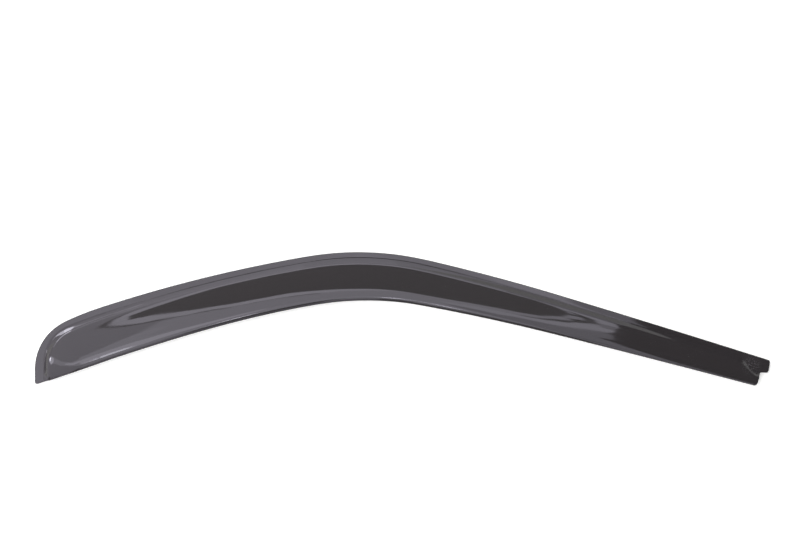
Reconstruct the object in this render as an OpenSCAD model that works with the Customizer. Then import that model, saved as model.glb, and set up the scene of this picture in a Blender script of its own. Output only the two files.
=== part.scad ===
// Outside window rain deflector for a front door: one thin formed sheet of
// smoked acrylic. A flat flange along the top edge and round the rear end is
// taped to the door frame. A shoulder steps out from it to a crowned blade,
// whose lower edge is free and has a small turned-down lip.
// X runs along the door with the front end at +X, Y runs up the window and
// +Z points away from the glass. The tape's back lies in the plane z = 0.

/* [Top edge] */
// Angle at which the pillar arm falls towards the front
arm_fall = 17.6; // [12:0.1:24]
// Length of the pillar arm, from the end of the tongue
arm_l = 285.5; // [220:1:340]
// Angle through which the pillar arm bows
arm_turn = 0.8; // [0.2:0.1:2]
// Length of the run that leads into the bend
lead_l = 182; // [120:1:240]
// Angle through which that run turns
lead_turn = 3.8; // [2:0.1:6]
// Radius of the bend at the door's upper corner
bend_r = 392; // [300:1:500]
// Angle through which the bend turns
bend_turn = 22.6; // [18:0.1:27]
// Length of the run along the roof
roof_l = 281; // [200:1:340]
// Angle through which the roof run turns
roof_turn = 8.6; // [5:0.1:12]

/* [Rear end] */
// Length of the run that leads into the rounded rear end
tail_l = 48; // [30:1:70]
// Angle through which that run turns
tail_turn = 7.5; // [4:0.1:12]
// Radius of the rounded rear end
rear_r = 68; // [60:1:80]
// Heading of the straight rear edge, 270 is straight down the door
rear_heading = 270; // [266:0.5:274]
// Angle by which the free edge turns outward towards the rear corner
rear_flare = 1.2; // [0:0.1:3]
// Radius of the corner between the rear edge and the free edge
rear_corner_r = 3; // [2:0.5:8]

/* [Front end] */
// Length of the tongue beyond the end of the blade
tongue_l = 8; // [6:0.5:16]
// Width of the tongue at its end
tongue_end_w = 16; // [13:0.5:17]
// Width of the tongue where it leaves the blade
tongue_root_w = 19; // [18:0.5:21]
// Angle by which the tongue's end leans forward from square
tongue_rake = 8; // [0:1:12]
// Radius of the tongue's two outer corners
tongue_corner_r = 2.5; // [1:0.5:4]
// Radius of the inner corner of the notch
notch_r = 2.5; // [1:0.5:4]
// Radius of the blade's lower front corner
blade_corner_r = 3.5; // [1:0.5:6]
// Length over which the flange widens into the tongue
tongue_blend_l = 34; // [20:1:60]

/* [Section] */
// Thickness of the acrylic sheet
wall = 3; // [2:0.1:4]
// Depth of the sheet from top edge to free edge, at the front
front_depth = 35.5; // [33:0.5:42]
// Depth of the sheet at the bend
bend_depth = 62.5; // [56:0.5:72]
// Depth of the sheet at the rear, before the rounded end
rear_depth = 67; // [60:0.5:76]
// Width of the flat flange
flange_w = 7; // [6.8:0.1:10]
// Width of the flange at the foot of the rear edge
rear_flange_w = 11; // [9:0.5:14]
// Width of the shoulder between the flange and the blade
shoulder_w = 10; // [9:0.5:13]
// Inside radius at the foot of the shoulder, on the front face
foot_r = 1.5; // [1:0.1:2.5]
// Inside radius at the top of the shoulder, on the back face
crest_r = 3; // [2:0.1:4]
// Stand-off of the blade's crest behind the sheet, at the front
front_rise = 7; // [5:0.5:12]
// Stand-off of the crest over the bend
bend_rise = 13; // [10:0.5:24]
// Stand-off of the crest at the rear
rear_rise = 12.5; // [12:0.5:18]
// Radius of the blade's crown across its depth
crown_r = 95; // [90:1:160]
// Place of the crest, as a share of the depth above the free edge
crest_share = 0.16; // [0.1:0.01:0.4]
// Width of the turned-down lip along the free edge
lip_w = 5; // [3:0.5:8]
// Drop of the lip
lip_drop = 1.8; // [0.5:0.1:3]
// Width of the lip at the rear edge, where it closes the end of the blade
rear_lip_w = 16; // [8:0.5:20]
// Drop of the lip at the rear edge
rear_lip_drop = 3.8; // [2:0.1:4]
// Fall of the crown towards the rear edge
rear_fall = 6.5; // [3:0.5:7]
// Distance from the rear flange over which the crown and the lip come down
rear_close_l = 54; // [30:1:56]
// Bevel along the polished edges of the sheet
edge_bevel = 0.6; // [0.2:0.1:0.9]

/* [Tape] */
// Thickness of the foam tape
tape_t = 1.1; // [0.6:0.1:2]
// Width of the foam tape
tape_w = 6; // [4:0.1:6.2]
// Distance of the tape from the edge of the flange
tape_inset = 0.5; // [0.2:0.1:0.6]
// Gap between the two strips of tape
tape_gap = 6; // [2:0.5:12]

/* [Fineness] */
// Cross-sections along the arm, bend and roof
body_count = 54; // [30:1:58]
// Cross-sections where the flange widens into the tongue
blend_count = 11; // [8:1:12]
// Cross-sections round the rear end
fan_count = 28; // [16:1:30]

/* [Hidden] */

degree = PI / 180;
bend_l = bend_r * bend_turn * degree;
start = [0, 0, 180 - arm_fall];
top_runs = [
    [arm_l, arm_turn],
    [lead_l, lead_turn],
    [bend_l, bend_turn],
    [roof_l, roof_turn],
    [tail_l, tail_turn]
];
bend_end_s = arm_l + lead_l + bend_l;
roof_end_s = bend_end_s + roof_l;
tail_end_s = roof_end_s + tail_l;

// Share of the arm's taper over which it levels out
taper_soft = 0.2;
// Extra width of the flange at the tongue, so that the shoulder clears the notch
root_margin = 0.5;
// Lean of the shoulder's flank that the cross-sections' points are laid out for
usual_lean = 46;
// Small step used to measure slopes
probe = 0.01;

// Steps of a small rounded corner, and of the corner at the foot of the rear edge
corner_steps = 3;
tip_steps = 8;
// Steps of a cross-section over the shoulder's foot, its crest, the blade and the lip
foot_steps = 3;
crest_steps = 4;
blade_steps = 9;
lip_steps = 3;
// Least width of blade between the shoulder and the lip that the points are laid out for
least_blade_w = 4;
// Room below which the bevel's width shrinks with the cross-section
full_bevel_room = 12;
// Share of a cramped cross-section over which its points keep their distances
held_share = 0.8;
// Room, in flange widths, at which that share starts and at which it is whole
held_from = 0.6;
held_whole = 1;
// Share of the room at the rear over which a cross-section stays square to the edge
square_share = 0.7;
// How the rear cross-sections crowd towards the corner and the outer edge
fan_crowd = 1.3;
outer_crowd = 1.6;
free_crowd = 1.25;
// Lengths of tape between two of its points
tape_step = 18;

function unit(v) = v / norm(v);
function mix(a, b, f) = a + (b - a) * f;
function clip(f) = min(1, max(0, f));
function ease(f) = let (c = clip(f)) c * c * (3 - 2 * c);
function dir(a) = [cos(a), sin(a)];
function plan(p) = [p.x, p.y];

// Point and heading at the end of an arc of length l that turns by turn
function arc_end(at, l, turn) =
    let (chord = abs(turn) < 0.001 ? l : 2 * l / (turn * degree) * sin(turn / 2))
    [at.x + chord * cos(at.z + turn / 2), at.y + chord * sin(at.z + turn / 2), at.z + turn];

// Point and heading at the distance s along the top edge, from the front
function along(s, at = start, i = 0) =
    i == len(top_runs) - 1 || s <= top_runs[i][0]
        ? arc_end(at, s, top_runs[i][1] * s / top_runs[i][0])
        : along(s - top_runs[i][0], arc_end(at, top_runs[i][0], top_runs[i][1]), i + 1);

// Point at the distance s along the top edge and t in from it
function place(st) = let (at = along(st[0])) plan(at) + st[1] * dir(at.z + 90);

// Points of the arc that rounds the corner p between the points a and b
function corner(a, p, b, r, count = corner_steps) =
    let (
        u = unit(a - p),
        v = unit(b - p),
        half = acos(u * v) / 2,
        centre = p + unit(u + v) * r / sin(half),
        from = p + u * r / tan(half) - centre,
        to = p + v * r / tan(half) - centre,
        sweep = 180 - 2 * half
    )
    [for (k = [0:count])
        centre + (sin(sweep * (1 - k / count)) * from + sin(sweep * k / count) * to) / sin(sweep)];

// Straight taper that levels out over its last stretch
function taper(f) =
    let (c = clip(f), full = 1 - taper_soft / 2)
    c < 1 - taper_soft ? c / full : 1 - (1 - c) * (1 - c) / (2 * taper_soft * full);

// Depth of the sheet
function depth(s) =
    s < bend_end_s
        ? mix(front_depth, bend_depth, taper(s / bend_end_s))
        : mix(bend_depth, rear_depth, ease((s - bend_end_s) / roof_l));

// Stand-off of the crest
function rise(s) =
    s < bend_end_s
        ? mix(front_rise, bend_rise, sin(90 * clip(s / bend_end_s)))
        : mix(bend_rise, rear_rise, ease((s - bend_end_s) / roof_l));

// Share of the way round the rear end
function round_share(s) = ease((s - tail_end_s) / rear_round_l);

// Width of the flat flange, wider at the tongue and down the rear edge
function flange(s) =
    s < arm_l
        ? mix(flange_w, tongue_root_w + root_margin, ease(1 - (s - tongue_l) / tongue_blend_l))
        : mix(flange_w, rear_flange_w, round_share(s));

// Lean of the shoulder's straight flank where the blade is h above the flange
function shoulder_lean(h) =
    let (both_r = foot_r + wall + crest_r)
    asin(both_r / norm([shoulder_w, both_r - h])) - atan2(both_r - h, shoulder_w);

// Height at the distance x up the shoulder: arc, straight flank, arc
function shoulder(x, h) =
    let (
        lean = shoulder_lean(h),
        low_r = foot_r + wall,
        low_x = low_r * sin(lean),
        top_x = shoulder_w - crest_r * sin(lean)
    )
    x <= 0 ? 0
    : x < low_x ? low_r - sqrt(low_r * low_r - x * x)
    : x < top_x ? low_r * (1 - cos(lean)) + (x - low_x) * tan(lean)
    : x < shoulder_w ? h - crest_r + sqrt(crest_r * crest_r - pow(shoulder_w - x, 2))
    : h;

// Fall of the lip, t in from the outer edge and b in from the free edge
function lip(s, t, b) =
    let (
        close = s < roof_end_s ? 0 : ease(1 - (t - flange(s)) / rear_close_l),
        width = mix(lip_w, rear_lip_w, close)
    )
    mix(lip_drop, rear_lip_drop, close) * pow(max(0, 1 - b / width), 2);

// Height of the back of the sheet, t in from the outer edge, b in from the free edge
function height(s, t, b) =
    let (
        off_crest = b - crest_share * depth(s),
        crown = rise(s) - off_crest * off_crest / (2 * crown_r),
        fall = rear_fall * round_share(s) * pow(clip(1 - (t - flange(s)) / rear_close_l), 2)
    )
    shoulder(t - flange(s), crown - fall - lip(s, t, b));

// Rounded rear end: the top edge goes on round it and down the rear edge
tail_start = along(roof_end_s);
tail_end = along(tail_end_s);
rear_turn = rear_heading - tail_end.z;
rear_round_l = rear_r * rear_turn * degree;
round_end = arc_end(tail_end, rear_round_l, rear_turn);
tail_r = tail_l / (tail_turn * degree);
tail_centre = plan(tail_start) + tail_r * dir(tail_start.z + 90);
rear_centre = plan(tail_end) + rear_r * dir(tail_end.z + 90);

// The free edge runs straight on from the last full cross-section
free_foot = place([roof_end_s, rear_depth]);
free_dir = dir(tail_start.z + rear_flare);
free_normal = dir(tail_start.z + rear_flare + 90);
rear_dir = dir(rear_heading);
rear_edge_l = ((free_foot - plan(round_end)) * free_normal) / (rear_dir * free_normal);
rear_tip = plan(round_end) + rear_edge_l * rear_dir;
free_l = norm(rear_tip - free_foot);
tip_arc = corner(plan(round_end), rear_tip, free_foot, rear_corner_r, tip_steps);
tip_setback = norm(tip_arc[0] - rear_tip);
outer_l = tail_l + rear_round_l + rear_edge_l;

// Point and heading of the outer edge, s beyond the end of the roof run
function outer_at(s) =
    s < tail_l ? along(roof_end_s + s)
    : s < tail_l + rear_round_l
        ? arc_end(tail_end, s - tail_l, rear_turn * (s - tail_l) / rear_round_l)
        : arc_end(round_end, s - tail_l - rear_round_l, 0);

// Distance along the outer edge and in from it, for a point p of the rear end
function rear_st(p) =
    let (
        from_tail = p - tail_centre,
        from_rear = p - rear_centre,
        tail_a = atan2(from_tail * dir(tail_start.z), from_tail * dir(tail_start.z - 90)),
        rear_a = atan2(from_rear * dir(tail_end.z), from_rear * dir(tail_end.z - 90)),
        past = (p - plan(round_end)) * rear_dir
    )
    past > 0 ? [tail_end_s + rear_round_l + past, (p - plan(round_end)) * dir(rear_heading + 90)]
    : rear_a > 0 ? [tail_end_s + rear_a * degree * rear_r, rear_r - norm(from_rear)]
    : [roof_end_s + tail_a * degree * tail_r, tail_r - norm(from_tail)];

function rear_height(p) = let (st = rear_st(p)) height(st[0], st[1], (free_foot - p) * free_normal);

// A point of the back skin and its outward normal, from its plan point
function rear_skin(p) =
    let (
        z = rear_height(p),
        slope_x = (rear_height(p + [probe, 0]) - z) / probe,
        slope_y = (rear_height(p + [0, probe]) - z) / probe
    )
    [[p.x, p.y, z], unit([-slope_x, -slope_y, 1])];

function body_height(st) = height(st[0], st[1], depth(st[0]) - st[1]);

function body_skin(st) =
    let (
        at = along(st[0]),
        p = place(st),
        z = body_height(st),
        slope_s = (body_height(st + [probe, 0]) - z) / probe,
        slope_t = (body_height(st + [0, probe]) - z) / probe,
        fall = slope_s * dir(at.z) + slope_t * dir(at.z + 90)
    )
    [[p.x, p.y, z], unit([-fall.x, -fall.y, 1])];

// Distances in from the outer edge at which a cross-section has its points,
// close together over the shoulder and the lip. Where there is less room than
// the section needs, the points past the held share of it move closer together.
function columns(foot, room) =
    let (
        blade_from = foot + shoulder_w,
        full = max(room, blade_from + lip_w + least_blade_w),
        blade_to = full - lip_w,
        bevel = edge_bevel * min(1, room / full_bevel_room),
        held = held_share * room * clip((room / foot - held_from) / (held_whole - held_from)),
        wanted = concat(
            [for (k = [0:foot_steps]) foot + (foot_r + wall) * sin(usual_lean * k / foot_steps)],
            [for (k = [crest_steps:-1:0]) blade_from - crest_r * sin(usual_lean * k / crest_steps)],
            [for (k = [1:blade_steps]) mix(blade_from, blade_to, k / blade_steps)],
            [for (k = [1:lip_steps]) mix(blade_to, full - edge_bevel, k / lip_steps)]
        )
    )
    concat(
        [0, bevel],
        [for (t = wanted)
            full == room || t < held ? t
            : mix(held, room - bevel, (t - held) / (full - edge_bevel - held))],
        [room]
    );

// Cross-section over straight lines between an outer and a free point
function straight(a, b, foot) = [for (t = columns(foot, norm(b - a))) mix(a, b, t / norm(b - a))];

// Cross-section of the rear end: square to the outer edge up to the blade,
// then straight to its point on the free edge
function hooked(at, b, foot) =
    let (
        a = plan(at),
        inward = dir(at.z + 90),
        square = min(foot + shoulder_w, square_share * (b - a) * inward),
        knee = a + square * inward,
        room = square + norm(b - knee)
    )
    [for (t = columns(foot, room))
        t < square ? a + t * inward : mix(knee, b, (t - square) / (room - square))];

tip_sections = [for (k = [tip_steps / 2 - 1:-1:1])
    [for (p = straight(tip_arc[k], tip_arc[tip_steps - k], rear_flange_w)) rear_skin(p)]];
fan_sections = [for (k = [fan_count:-1:1])
    let (
        f = pow(1 - k / fan_count, fan_crowd),
        from_outer = (outer_l - tip_setback) * pow(f, outer_crowd),
        from_free = (free_l - tip_setback) * (1 - pow(1 - f, free_crowd)),
        s = outer_l - tip_setback - from_outer,
        b = rear_tip - free_dir * (tip_setback + from_free)
    )
    [for (p = hooked(outer_at(s), b, flange(roof_end_s + s))) rear_skin(p)]];

// The notch and tongue, as pairs of distances along and in from the top edge
cut_s = tongue_l;
cut_depth = depth(cut_s);
low_corner = [cut_s, cut_depth];
notch_corner = [cut_s, tongue_root_w];
tongue_low = [-tongue_end_w * tan(tongue_rake), tongue_end_w];
// Shares of the cut between the blade and the notch at which it has points
cut_shares = [0.4, 0.65];
free_side = concat(
    corner([2 * cut_s, depth(2 * cut_s)], low_corner, notch_corner, blade_corner_r),
    [for (share = cut_shares) mix(low_corner, notch_corner, share)],
    corner(low_corner, notch_corner, tongue_low, notch_r),
    [(notch_corner + tongue_low) / 2],
    corner(notch_corner, tongue_low, [0, 0], tongue_corner_r)
);
top_round = corner([cut_s, 0], [0, 0], tongue_low, tongue_corner_r);
front_count = len(free_side) - len(top_round);
// Lean from one cross-section to the next, which keeps them apart along the cut
lean = 0.3;
notch_start = 6;
front_pairs = [for (k = [0:len(free_side) - 1])
    k < front_count
        ? [[free_side[k][0] + lean * max(0, notch_start - k), 0], free_side[k]]
        : [top_round[k - front_count], free_side[k]]];
front_sections = [for (pair = front_pairs)
    [for (p = straight(pair[0], pair[1], flange(pair[1][0]))) body_skin(p)]];

// Full cross-sections, closer together where the flange widens into the tongue
body_from = cut_s + blade_corner_r + lean * notch_start;
// Length past the widening flange that keeps the closer cross-sections
blend_run_out = 8;
blend_end = body_from + tongue_blend_l + blend_run_out;
body_s = concat(
    [for (k = [0:body_count]) mix(roof_end_s, blend_end, k / body_count)],
    [for (k = [1:blend_count]) mix(blend_end, body_from, k / blend_count)]
);
body_sections = [for (s = body_s) [for (t = columns(flange(s), depth(s))) body_skin([s, t])]];

sections = concat(tip_sections, fan_sections, body_sections, front_sections);

// Loop of points round one cross-section: back skin, free edge, front skin, outer edge
function loop(section) =
    let (
        last = len(section) - 1,
        bevel = edge_bevel / wall
    )
    concat(
        [for (j = [1:last - 1]) section[j][0]],
        [section[last][0] + section[last][1] * wall * bevel],
        [section[last][0] + section[last][1] * wall * (1 - bevel)],
        [for (j = [last - 1:-1:1]) section[j][0] + section[j][1] * wall],
        [section[0][0] + section[0][1] * wall * (1 - bevel)],
        [section[0][0] + section[0][1] * wall * bevel]
    );

loops = [for (section = sections) loop(section)];
ring = len(loops[0]);
corners = [for (points = loops) each points];
mid_x = (min([for (p = corners) p.x]) + max([for (p = corners) p.x])) / 2;
mid_y = (min([for (p = corners) p.y]) + max([for (p = corners) p.y])) / 2;

// Skin of triangles over a row of loops, closed at both ends
module loft(loops) {
    last = len(loops) - 1;
    polyhedron(
        [for (points = loops) each points],
        concat(
            [for (i = [0:last - 1]) for (j = [0:ring - 1])
                let (a = i * ring + j, b = i * ring + (j + 1) % ring)
                each [[a, b, b + ring], [a, b + ring, a + ring]]],
            [[for (j = [ring - 1:-1:0]) j]],
            [[for (j = [0:ring - 1]) last * ring + j]]
        )
    );
}

// Flat strip of tape along a row of points of the outer edge
module strip(edge_points) {
    linear_extrude(tape_t) polygon(concat(
        [for (at = edge_points) plan(at) + dir(at.z + 90) * tape_inset],
        [for (k = [len(edge_points) - 1:-1:0])
            plan(edge_points[k]) + dir(edge_points[k].z + 90) * (tape_inset + tape_w)]
    ));
}

module deflector_shell() {
    color([0.2, 0.2, 0.21]) translate([-mid_x, -mid_y, tape_t]) loft(loops);
}

module top_tape() {
    from = tongue_corner_r + tape_inset;
    steps = ceil((tail_end_s - from) / tape_step);
    color([0.08, 0.08, 0.08]) translate([-mid_x, -mid_y, 0])
        strip([for (k = [0:steps]) along(mix(from, tail_end_s, k / steps))]);
}

module rear_tape() {
    from = tail_l + tape_gap;
    to = outer_l - tip_setback - tape_inset;
    steps = 2 * ceil((to - from) / tape_step);
    color([0.08, 0.08, 0.08]) translate([-mid_x, -mid_y, 0])
        strip([for (k = [0:steps]) outer_at(mix(from, to, k / steps))]);
}

deflector_shell();
top_tape();
rear_tape();
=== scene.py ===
import math

import bmesh
import bpy
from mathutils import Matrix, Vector


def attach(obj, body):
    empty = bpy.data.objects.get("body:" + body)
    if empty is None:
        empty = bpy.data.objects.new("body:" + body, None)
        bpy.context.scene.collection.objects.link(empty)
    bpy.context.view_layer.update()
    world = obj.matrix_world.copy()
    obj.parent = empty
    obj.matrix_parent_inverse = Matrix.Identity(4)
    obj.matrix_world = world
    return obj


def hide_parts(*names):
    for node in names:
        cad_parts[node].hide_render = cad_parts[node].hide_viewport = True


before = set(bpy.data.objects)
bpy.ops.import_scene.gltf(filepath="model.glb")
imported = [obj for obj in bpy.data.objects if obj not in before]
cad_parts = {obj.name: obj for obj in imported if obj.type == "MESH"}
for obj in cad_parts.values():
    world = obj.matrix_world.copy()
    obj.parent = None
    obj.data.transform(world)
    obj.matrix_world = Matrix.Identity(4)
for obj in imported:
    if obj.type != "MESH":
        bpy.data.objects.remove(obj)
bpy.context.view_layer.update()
scene = bpy.context.scene

# The camera looks straight down on the deflector with a long lens, as the
# photograph does. The deflector lies on its tape in the lower half of the frame.
photo_width = 1.04
photo_centre = Vector((-0.0031, 0.068, 0.008))
lens_mm = 100
sensor_mm = 36
camera_height = photo_width * lens_mm / sensor_mm
camera_data = bpy.data.cameras.new("camera")
camera_data.lens = lens_mm
camera_data.sensor_width = sensor_mm
camera = bpy.data.objects.new("camera", camera_data)
camera.location = photo_centre + Vector((0, 0, camera_height))
scene.collection.objects.link(camera)
scene.camera = camera
scene.view_settings.view_transform = "Standard"

# The surface of formed acrylic: slow waves left by the hot forming, a fainter
# orange peel, fine hairlines and a haze from handling, and a paler, rougher patch
# at the notch. The sheet's faces and its cut edge share it.
hairline_share = 0.8
peel_share = 0.012
notch_patch_centre = (0.453, -0.06, 0.004)
notch_patch_radius = 0.016
notch_patch_core = 0.4
notch_patch_roughness = 0.25
notch_patch_paleness = 0.3
acrylic_surface = bpy.data.node_groups.new("acrylic_surface", "ShaderNodeTree")
surface_in = {"Clean Roughness": 0.03, "Haze": 0.02, "Wave": 1.0}
for socket, value in surface_in.items():
    made = acrylic_surface.interface.new_socket(
        socket, in_out="INPUT", socket_type="NodeSocketFloat"
    )
    made.default_value = value
for socket in ("Roughness", "Height", "Dust"):
    acrylic_surface.interface.new_socket(socket, in_out="OUTPUT", socket_type="NodeSocketFloat")


def object_place(tree):
    return tree.nodes.new("ShaderNodeTexCoord").outputs["Object"]


def grain(tree, scale, detail, stretch=(1, 1, 1), turn=0.0):
    turned = tree.nodes.new("ShaderNodeMapping")
    turned.inputs["Scale"].default_value = stretch
    turned.inputs["Rotation"].default_value = (0, 0, turn)
    tree.links.new(object_place(tree), turned.inputs["Vector"])
    noise = tree.nodes.new("ShaderNodeTexNoise")
    noise.inputs["Scale"].default_value = scale
    noise.inputs["Detail"].default_value = detail
    tree.links.new(turned.outputs["Vector"], noise.inputs["Vector"])
    return noise.outputs["Fac"]


def ramp(tree, value, low, high, out_low=0.0, out_high=1.0):
    mapped = tree.nodes.new("ShaderNodeMapRange")
    mapped.inputs["From Min"].default_value = low
    mapped.inputs["From Max"].default_value = high
    mapped.inputs["To Min"].default_value = out_low
    mapped.inputs["To Max"].default_value = out_high
    tree.links.new(value, mapped.inputs["Value"])
    return mapped.outputs["Result"]


def joined(tree, operation, first, second):
    node = tree.nodes.new("ShaderNodeMath")
    node.operation = operation
    for slot, value in zip(node.inputs, (first, second)):
        if isinstance(value, (int, float)):
            slot.default_value = value
        else:
            tree.links.new(value, slot)
    return node.outputs[0]


def patch(tree, centre, radius, core):
    away = tree.nodes.new("ShaderNodeVectorMath")
    away.operation = "DISTANCE"
    away.inputs[1].default_value = centre
    tree.links.new(object_place(tree), away.inputs[0])
    return ramp(tree, away.outputs["Value"], radius, radius * core)


surface = acrylic_surface
given = surface.nodes.new("NodeGroupInput").outputs
result = surface.nodes.new("NodeGroupOutput").inputs
haze = ramp(surface, grain(surface, scale=24, detail=4), low=0.42, high=0.68)
long_grain = grain(surface, scale=300, detail=2, stretch=(0.03, 1, 1), turn=math.radians(14))
cross_grain = grain(surface, scale=260, detail=2, stretch=(0.04, 1, 1), turn=math.radians(-38))
long_hairlines = ramp(surface, long_grain, low=0.66, high=0.74)
cross_hairlines = ramp(surface, cross_grain, low=0.68, high=0.76)
hairlines = joined(surface, "MAXIMUM", long_hairlines, cross_hairlines)
dull = joined(surface, "ADD", haze, joined(surface, "MULTIPLY", hairlines, hairline_share))
worn = joined(surface, "MULTIPLY", dull, given["Haze"])
roughness = joined(surface, "ADD", given["Clean Roughness"], worn)
waves = joined(surface, "MULTIPLY", grain(surface, scale=13, detail=1), given["Wave"])
peel = joined(surface, "MULTIPLY", grain(surface, scale=160, detail=2), peel_share)
specks = ramp(surface, grain(surface, scale=1500, detail=1), low=0.77, high=0.8)
dusty_places = ramp(surface, grain(surface, scale=18, detail=2), low=0.4, high=0.65)
dust = joined(surface, "MULTIPLY", specks, dusty_places)
scratches = ramp(surface, grain(surface, scale=750, detail=3), low=0.52, high=0.6)
# A paler, rougher, scratched patch at the notch.
notch_patch_place = patch(surface, notch_patch_centre, notch_patch_radius, notch_patch_core)
notch_patch = joined(surface, "MULTIPLY", notch_patch_place, scratches)
rough_notch_patch = joined(surface, "MULTIPLY", notch_patch, notch_patch_roughness)
pale_notch_patch = joined(surface, "MULTIPLY", notch_patch, notch_patch_paleness)
surface.links.new(joined(surface, "ADD", roughness, rough_notch_patch), result["Roughness"])
surface.links.new(joined(surface, "ADD", waves, peel), result["Height"])
surface.links.new(joined(surface, "MAXIMUM", dust, pale_notch_patch), result["Dust"])

# The sheet is one piece of dark smoked acrylic, sawn out and flame-polished along
# its edges, then formed hot over a mould, so its faces are glossy and its creases
# run into each other. It replaces the CAD sheet and has the same form.
weld_distance = 0.00001
flat_angle = math.radians(25)
square_angle = math.radians(60)
crease_angle = math.radians(33)
face_paint, edge_paint = 0, 1
shell_mesh = bpy.data.meshes.new("smoked_sheet")
sheet = bmesh.new()
sheet.from_mesh(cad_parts["deflector_shell"].data)
bmesh.ops.remove_doubles(sheet, verts=sheet.verts, dist=weld_distance)
bmesh.ops.join_triangles(
    sheet, faces=sheet.faces, angle_face_threshold=flat_angle, angle_shape_threshold=square_angle
)
crease = sheet.edges.layers.float.new("crease_edge")
for edge in sheet.edges:
    sharp = len(edge.link_faces) == 2 and edge.calc_face_angle() > crease_angle
    edge.smooth = not sharp
    edge[crease] = 1.0 if sharp else 0.0

# Its front and back skins are the two largest stretches of faces between sharp
# edges. All the rest is cut edge.
unvisited = set(sheet.faces)
skins = []
while unvisited:
    first = unvisited.pop()
    skin = [first]
    for face in skin:
        for edge in face.edges:
            if edge.smooth:
                for other in edge.link_faces:
                    if other in unvisited:
                        unvisited.remove(other)
                        skin.append(other)
    skins.append(skin)
skins.sort(key=lambda skin: -sum(face.calc_area() for face in skin))
for face in sheet.faces:
    face.smooth = True
    face.material_index = edge_paint
for skin in skins[:2]:
    for face in skin:
        face.material_index = face_paint
sheet.to_mesh(shell_mesh)
sheet.free()
smoked_sheet = bpy.data.objects.new("smoked_sheet", shell_mesh)
scene.collection.objects.link(smoked_sheet)
rounding = smoked_sheet.modifiers.new("formed_curves", "SUBSURF")
rounding.levels = 1
rounding.render_levels = 1
flat_faces = smoked_sheet.modifiers.new("flat_faces", "WEIGHTED_NORMAL")
flat_faces.keep_sharp = True

# The smoke colour is nearly black and a little warm. The cut edge was polished by flame and is duller,
# and its colour is painted lighter than the smoke, a painted highlight for the light the edge catches
# and carries. Dust lies pale on both.
smoke_colour = (0.0252, 0.023, 0.022, 1)
dust_colour = (0.16, 0.155, 0.15, 1)
edge_painted_highlight_colour = (0.045, 0.042, 0.04, 1)
acrylic_ior = 1.49
wave_depth = 0.00012


def acrylic(name, colour, clean_roughness, wave):
    material = bpy.data.materials.new(name)
    material.use_nodes = True
    tree = material.node_tree
    gloss = tree.nodes["Principled BSDF"]
    gloss.inputs["IOR"].default_value = acrylic_ior
    texture = tree.nodes.new("ShaderNodeGroup")
    texture.node_tree = acrylic_surface
    texture.inputs["Clean Roughness"].default_value = clean_roughness
    texture.inputs["Wave"].default_value = wave
    tint = tree.nodes.new("ShaderNodeMix")
    tint.data_type = "RGBA"
    tint.inputs["A"].default_value = colour
    tint.inputs["B"].default_value = dust_colour
    bump = tree.nodes.new("ShaderNodeBump")
    bump.inputs["Strength"].default_value = 1.0
    bump.inputs["Distance"].default_value = wave_depth
    tree.links.new(texture.outputs["Dust"], tint.inputs["Factor"])
    tree.links.new(tint.outputs["Result"], gloss.inputs["Base Color"])
    tree.links.new(texture.outputs["Roughness"], gloss.inputs["Roughness"])
    tree.links.new(texture.outputs["Height"], bump.inputs["Height"])
    tree.links.new(bump.outputs["Normal"], gloss.inputs["Normal"])
    shell_mesh.materials.append(material)


shell_mesh.materials.clear()
acrylic("smoked_acrylic", smoke_colour, clean_roughness=0.03, wave=1.0)
# The cut edge gets the lighter colour, a painted highlight along the rim.
acrylic("polished_edge_painted_highlight", edge_painted_highlight_colour, clean_roughness=0.09, wave=0.3)
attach(smoked_sheet, "root")
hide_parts("deflector_shell")

# Two strips of black acrylic foam tape are stuck to the back of the flange. Their
# cut sides show a fine closed-cell grain.
cells_a_metre = 2600
foam_colour = (0.018, 0.018, 0.019, 1)
cell_colour = (0.007, 0.007, 0.007, 1)
cell_depth = 0.0001
foam = bpy.data.materials.new("foam_tape")
foam.use_nodes = True
tree = foam.node_tree
foam_gloss = tree.nodes["Principled BSDF"]
cells = tree.nodes.new("ShaderNodeTexVoronoi")
cells.inputs["Scale"].default_value = cells_a_metre
tree.links.new(object_place(tree), cells.inputs["Vector"])
foam_tone = tree.nodes.new("ShaderNodeMix")
foam_tone.data_type = "RGBA"
foam_tone.inputs["A"].default_value = foam_colour
foam_tone.inputs["B"].default_value = cell_colour
cell_mask = ramp(tree, cells.outputs["Distance"], low=0.1, high=0.6)
foam_roughness = ramp(
    tree, grain(tree, scale=500, detail=2), low=0.3, high=0.7, out_low=0.7, out_high=0.95
)
foam_bump = tree.nodes.new("ShaderNodeBump")
foam_bump.inputs["Strength"].default_value = 0.6
foam_bump.inputs["Distance"].default_value = cell_depth
tree.links.new(cell_mask, foam_tone.inputs["Factor"])
tree.links.new(foam_tone.outputs["Result"], foam_gloss.inputs["Base Color"])
tree.links.new(foam_roughness, foam_gloss.inputs["Roughness"])
tree.links.new(cells.outputs["Distance"], foam_bump.inputs["Height"])
tree.links.new(foam_bump.outputs["Normal"], foam_gloss.inputs["Normal"])
for strip in ("top_tape", "rear_tape"):
    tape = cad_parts[strip]
    tape.data.materials.clear()
    tape.data.materials.append(foam)

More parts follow.
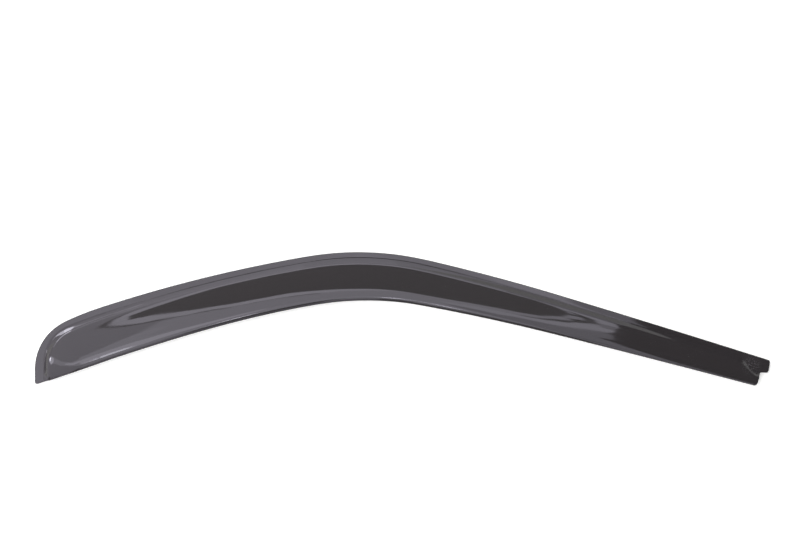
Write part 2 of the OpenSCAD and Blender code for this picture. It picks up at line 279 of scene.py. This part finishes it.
# The table is a plain white sheet, wide enough for low views, where its far part
# is kept as white as the middle.
table_size = 14
table_white = (0.905, 0.93, 0.82, 1)
near_distance = 1.2
far_distance = 3.0
near_lift = 0.35
far_lift = 1.0
table_mesh = bpy.data.meshes.new("table")
table_shape = bmesh.new()
bmesh.ops.create_grid(table_shape, x_segments=1, y_segments=1, size=table_size / 2)
table_shape.to_mesh(table_mesh)
table_shape.free()
table = bpy.data.objects.new("table", table_mesh)
scene.collection.objects.link(table)
table_paint = bpy.data.materials.new("table_white")
table_paint.use_nodes = True
tree = table_paint.node_tree
tree.nodes.clear()
diffuse = tree.nodes.new("ShaderNodeBsdfDiffuse")
diffuse.inputs["Color"].default_value = table_white
lift = tree.nodes.new("ShaderNodeEmission")
from_middle = tree.nodes.new("ShaderNodeVectorMath")
from_middle.operation = "LENGTH"
tree.links.new(object_place(tree), from_middle.inputs[0])
distance = from_middle.outputs["Value"]
lifted = ramp(tree, distance, near_distance, far_distance, near_lift, far_lift)
rays = tree.nodes.new("ShaderNodeLightPath")
seen = joined(tree, "MULTIPLY", lifted, rays.outputs["Is Camera Ray"])
tree.links.new(seen, lift.inputs["Strength"])
both = tree.nodes.new("ShaderNodeAddShader")
tree.links.new(diffuse.outputs[0], both.inputs[0])
tree.links.new(lift.outputs[0], both.inputs[1])
output = tree.nodes.new("ShaderNodeOutputMaterial")
tree.links.new(both.outputs[0], output.inputs["Surface"])
table_mesh.materials.append(table_paint)

# A white light tent hangs over the table. The gap between its panels, where the
# camera looks through, is what the dark face of the blade reflects. A dark card
# closes it at the front, and the folds where two panels meet draw thin dark lines.
tent_height = 3.2
tent_back = 5
tent_front = -4
tent_rear = -4.5
card_end = 5.5
tent_tint = (0.975, 0.945, 1.08, 1)
dark_tint = (1, 1, 1, 1)


def tent_panel(name, brightness, corners, drop=0.0, tint=tent_tint):
    mesh = bpy.data.meshes.new(name)
    cloth = bmesh.new()
    height = tent_height - drop
    places = [corner if len(corner) == 3 else (*corner, height) for corner in corners]
    face = cloth.faces.new([cloth.verts.new(place) for place in places])
    bmesh.ops.triangulate(cloth, faces=[face])
    cloth.to_mesh(mesh)
    cloth.free()
    glow = bpy.data.materials.new(name)
    glow.use_nodes = True
    glow.node_tree.nodes.clear()
    shine = glow.node_tree.nodes.new("ShaderNodeEmission")
    shine.inputs["Color"].default_value = tint
    shine.inputs["Strength"].default_value = brightness
    surface = glow.node_tree.nodes.new("ShaderNodeOutputMaterial")
    glow.node_tree.links.new(shine.outputs[0], surface.inputs["Surface"])
    mesh.materials.append(glow)
    panel = bpy.data.objects.new(name, mesh)
    panel.visible_camera = False
    scene.collection.objects.link(panel)


def tent_wall(name, brightness, start, end, low=0.0, high=tent_height):
    tent_panel(name, brightness, [(*start, low), (*end, low), (*end, high), (*start, high)])


def beside(fold, side):
    return [(x + side * half_width, y) for x, y, half_width in fold]


# Each fold is a row of x, y and half its width. The gap's edges run beside them.
rear_fold = [
    (-0.13, 0.07, 0), (-0.24, 0.15, 0.013), (-0.37, 0.3, 0.015), (-0.5, 0.4, 0.014),
    (-0.62, 0.48, 0.013), (-0.79, 0.72, 0.013), (-0.86, 0.79, 0.013), (-0.95, 0.89, 0.014),
    (-1.1, 1.13, 0.015), (-1.17, 1.22, 0.015), (-1.245, 1.335, 0.017), (-1.45, 1.68, 0.016),
    (-1.56, 1.87, 0.02), (-1.65, 2.03, 0.035), (-1.72, 2.2, 0.045), (-1.78, 2.45, 0.022),
    (-1.77, 2.7, 0.014), (-1.72, 2.85, 0),
]
front_fold = [
    (0.3, 0.1, 0), (0.4, 0.15, 0.008), (0.455, 0.165, 0.012), (0.55, 0.28, 0.015),
    (0.61, 0.4, 0.014), (0.675, 0.53, 0.022), (0.735, 0.66, 0.014), (0.79, 0.77, 0.018),
    (0.85, 0.9, 0.022), (0.91, 1.03, 0.022), (0.945, 1.14, 0.018), (0.985, 1.3, 0.022),
    (1.02, 1.45, 0.03), (1.05, 1.7, 0.018), (1.1, 2.0, 0),
]
lower_fold = [
    (0.12, -0.2, 0), (0.21, -0.19, 0.003), (0.3, -0.2, 0.003), (0.38, -0.07, 0.004),
    (0.46, -0.02, 0.006), (0.51, 0.02, 0.008), (0.57, 0.12, 0.013), (0.64, 0.21, 0.014),
    (0.74, 0.4, 0.013), (0.78, 0.465, 0.01), (0.85, 0.56, 0),
]
gap_low_edge = [
    (-1.62, 2.31), (-1.46, 1.9), (-1.38, 1.8), (-1.3, 1.7), (-1.09, 1.33), (-0.99, 1.19),
    (-0.875, 1.01), (-0.69, 0.76), (-0.55, 0.65), (-0.43, 0.6), (-0.27, 0.39), (-0.14, 0.28),
    (-0.02, 0.25), (0.1, 0.19), (0.195, 0.2), (0.31, 0.28), (0.43, 0.36), (0.5, 0.38),
    (0.605, 0.52), (0.685, 0.7), (0.775, 0.9), (0.85, 1.1), (0.917, 1.3), (0.967, 1.5),
    (1.02, 1.8), (1.1, 2.0),
]
gap_top_edge = [
    (1.1, 2.0), (1.16, 2.4), (1.28, 2.95), (0.6, 3.05), (-0.7, 3.1), (-1.2, 3.05),
    (-1.41, 2.71), (-1.52, 2.55), (-1.58, 2.45), (-1.62, 2.31),
]
card_edge = [
    (2.45, tent_back), (2.38, 4.7), (1.8, 3.2), (1.34, 2.0), (1.2, 1.65), (1.13, 1.4),
    (1.06, 1.2), (0.99, 1.0), (0.93, 0.8), (0.85, 0.56), (0.82, 0.43), (0.76, 0.2),
    (0.71, 0.02), (0.665, -0.04), (0.632, -0.08), (0.637, -0.13), (0.66, -0.2),
    (0.655, -0.32), (0.62, -0.5), (0.5, -1.4), (0.36, -2.45),
]

# The panels on both sides of the folds hang side by side at one height. The seam
# between the middle panel and the rear one is soft and has no fold.
rear_seam = [
    (-1.0, 0.95), (-0.94, 0.7), (-0.9, 0.45), (-0.85, -0.1), (-0.55, -0.4), (-0.4, -2.6),
]
low_corner = [(0.02, -2.45), (0.1, -0.5)]
fold_meeting = (0.15, -0.05)
tent_panel(
    "rear_strand", 3.5,
    gap_low_edge[:14] + beside(rear_fold, 1) + [(-1.66, 2.95), (-1.32, 2.9)] + gap_top_edge[6:9],
)
tent_panel("front_strand", 2.6, gap_low_edge[13:] + beside(front_fold, -1)[::-1])
tent_panel(
    "middle_panel", 2.65,
    beside(rear_fold, -1)[:9] + rear_seam + low_corner + beside(lower_fold, 0)[:1]
    + [fold_meeting, (0.3, 0.1), (0.1, 0.19)],
)
tent_panel(
    "front_panel", 3.05,
    beside(front_fold, 1) + gap_top_edge[1:3] + card_edge[2:9] + beside(lower_fold, 1)[::-1]
    + [fold_meeting],
)
tent_panel("front_low_panel", 1.65, beside(lower_fold, -1) + card_edge[9:] + low_corner)
tent_panel(
    "rear_panel", 1.9,
    beside(rear_fold, -1)[8:]
    + [(-1.66, 2.95), (tent_rear, 2.95), (tent_rear, tent_front), (-0.5, tent_front)]
    + rear_seam[::-1],
)
tent_panel(
    "low_panel", 2.1,
    [(-0.5, -3.3), (-0.4, -2.6), (0.02, -2.45), (0.36, -2.45), (0.36, tent_front),
    (-0.15, tent_front), (-0.18, -3.3)],
)
tent_panel(
    "low_fold", 0.2,
    [(0.02, -2.3), (0.12, -2.35), (0.27, -2.95), (0.44, tent_front), (0.3, tent_front),
    (0.16, -3.1), (0.02, -2.75)],
    drop=0.006, tint=dark_tint,
)
tent_wall("front_wall_rear", 1.4, (-2.6, tent_front), (-0.62, tent_front), low=1.9)
tent_wall("front_wall", 1.2, (-0.2, tent_front), (0.42, tent_front), low=1.9)
tent_panel(
    "back_panel", 3.8,
    [(-1.66, 2.95), (-1.9, tent_back), (1.6, tent_back), (1.45, 3.6)] + gap_top_edge[2:6]
    + [(-1.32, 2.9)],
)
tent_panel(
    "back_end_panel", 2.3,
    [(tent_rear, 2.95), (-1.66, 2.95), (-1.9, tent_back), (tent_rear, tent_back)],
)
tent_panel(
    "back_front_panel", 2.2,
    [(1.28, 2.95), (1.45, 3.6), (1.6, tent_back)] + card_edge[:3],
)

# Small folds spring from the front fold, and the card's hem catches some light.
tent_panel(
    "front_fold_arm", 0.25,
    [(0.77, 0.84), (0.8, 0.84), (0.86, 0.94), (0.9, 1.04), (0.86, 1.0)],
    drop=0.006, tint=dark_tint,
)
tent_panel(
    "front_fold_barb", 0.25,
    [(0.885, 1.19), (0.92, 1.25), (0.99, 1.26), (1.01, 1.4), (0.96, 1.38), (0.92, 1.32)],
    drop=0.006, tint=dark_tint,
)
tent_panel(
    "card_hem", 1.9, [(0.955, 1.12), (1.05, 1.2), (0.93, 0.8), (0.885, 0.83)], drop=0.004
)
tent_panel(
    "card_hem_fold", 0.6,
    [(0.875, 0.64), (0.9, 0.7), (0.85, 0.56), (0.82, 0.43), (0.79, 0.38), (0.8, 0.46)],
    drop=0.004,
)
tent_panel(
    "dark_card", 0.1,
    card_edge + [(0.36, tent_front), (card_end, tent_front), (card_end, tent_back)],
    tint=dark_tint,
)

# The walls reach down to the table. The back wall's strips are a left end and a
# brightness each, and grow dark behind the card.
back_wall_strips = [(tent_rear, 1.7), (-2.75, 2.4), (-1.2, 2.15), (0.6, 1.9), (1.75, 1.3), (2.45, 0.08)]
strip_ends = [left for left, _ in back_wall_strips[1:]] + [card_end]
for (left, brightness), right in zip(back_wall_strips, strip_ends):
    tent_wall("back_wall", brightness, (left, tent_back), (right, tent_back))
tent_wall("end_wall_back", 1.45, (tent_rear, 0.8), (tent_rear, tent_back))
tent_wall("end_wall_front", 1.9, (tent_rear, tent_front), (tent_rear, 0.8))

# Brighter cloths and small lamps hang just under the tent and in its corner. They
# draw the pale band and the glint along the lip and the white streaks on the
# shoulder, the rear edge and the lip of the rounded end.
lamp_rear = tent_rear + 0.01
lamp_back = tent_back - 0.01
tent_panel(
    "glow_cloth", 2.9,
    [(-0.92, 0.42), (-0.86, 0.48), (-0.78, 0.3), (-0.74, 0.0), (-0.6, -0.2), (-0.4, -0.3),
    (-0.2, -0.42), (-0.1, -0.8), (0.08, -0.6), (0.06, -1.9), (-0.02, -2.2), (-0.3, -2.2),
    (-0.34, -1.3), (-0.42, -0.8), (-0.7, -1.0), (-1.25, -0.95), (-1.5, -0.6), (-1.88, -0.3),
    (-2.2, -0.05), (-2.45, 0.05), (-2.75, 0.2), (-2.9, 0.65), (-2.6, 0.45), (-2.3, 0.25),
    (-1.95, 0.0), (-1.65, -0.15), (-1.35, -0.25), (-1.0, -0.12), (-0.94, 0.1)],
    drop=0.005,
)
tent_panel(
    "lip_cloth", 4.4,
    [(-0.8, -0.16), (-0.74, -0.14), (-0.62, -0.2), (-0.45, -0.3), (-0.3, -0.38), (-0.3, -0.5),
    (-0.4, -0.65), (-0.5, -0.6), (-0.5, -0.85), (-0.62, -0.95), (-0.78, -0.8), (-0.85, -0.45),
    (-1.2, -0.72), (-1.4, -0.55), (-1.63, -0.38), (-1.63, -0.25), (-1.38, -0.36), (-0.9, -0.25)],
    drop=0.01,
)
tent_panel(
    "lip_lamp", 10,
    [(-0.72, -0.5), (-0.66, -0.46), (-0.6, -0.6), (-0.53, -0.85), (-0.6, -0.92), (-0.68, -0.7)],
    drop=0.015,
)
tent_panel(
    "lip_glint", 20, [(-0.155, -1.42), (-0.1, -1.4), (-0.095, -1.68), (-0.14, -1.75)], drop=0.015
)
tent_wall("corner_lamp_end", 9, (lamp_rear, 2.9), (lamp_rear, lamp_back), low=1.3, high=3.1)
tent_wall("corner_lamp_back", 14, (lamp_rear, lamp_back), (-3.5, lamp_back), low=1.5, high=3.15)
tent_wall("corner_cloth_end", 4, (lamp_rear, 2.1), (lamp_rear, 2.9), low=1.3, high=3.1)
tent_panel(
    "corner_cloth_back", 4.5,
    [(-3.5, lamp_back, 2.2), (-2.6, lamp_back, 2.6), (-2.6, lamp_back, 3.15), (-3.5, lamp_back, 3.15)],
)
tent_panel(
    "rear_cloth", 6,
    [(tent_rear, 0.6), (tent_rear, 1.0), (-3.4, 0.68), (-2.85, 0.58), (-2.55, 0.42),
    (-2.42, 0.12), (-2.5, 0.03), (-2.75, 0.15), (-3.2, 0.25)],
    drop=0.01,
)
tent_panel(
    "rear_lamp", 24,
    [(-2.82, 0.3), (-2.95, 0.26), (-3.5, 0.4), (-4.0, 0.65), (-4.0, 0.8), (-3.4, 0.62),
    (-2.95, 0.52)],
    drop=0.015,
)

# The room behind the tent is dim, a little brighter where the sheet mirrors it,
# and plain white where the camera sees it.
room_light = 0.25
room_mirrored = 0.33
backdrop = 1.0
studio = bpy.data.worlds.new("studio")
scene.world = studio
studio.use_nodes = True
tree = studio.node_tree
tree.nodes.clear()
room = tree.nodes.new("ShaderNodeBackground")
room.inputs["Color"].default_value = (1, 1, 1, 1)
rays = tree.nodes.new("ShaderNodeLightPath")
dim = tree.nodes.new("ShaderNodeMapRange")
dim.inputs["To Min"].default_value = room_light
dim.inputs["To Max"].default_value = room_mirrored
level = tree.nodes.new("ShaderNodeMapRange")
level.inputs["To Max"].default_value = backdrop
tree.links.new(rays.outputs["Is Glossy Ray"], dim.inputs["Value"])
tree.links.new(dim.outputs["Result"], level.inputs["To Min"])
tree.links.new(rays.outputs["Is Camera Ray"], level.inputs["Value"])
tree.links.new(level.outputs["Result"], room.inputs["Strength"])
output = tree.nodes.new("ShaderNodeOutputWorld")
tree.links.new(room.outputs[0], output.inputs["Surface"])
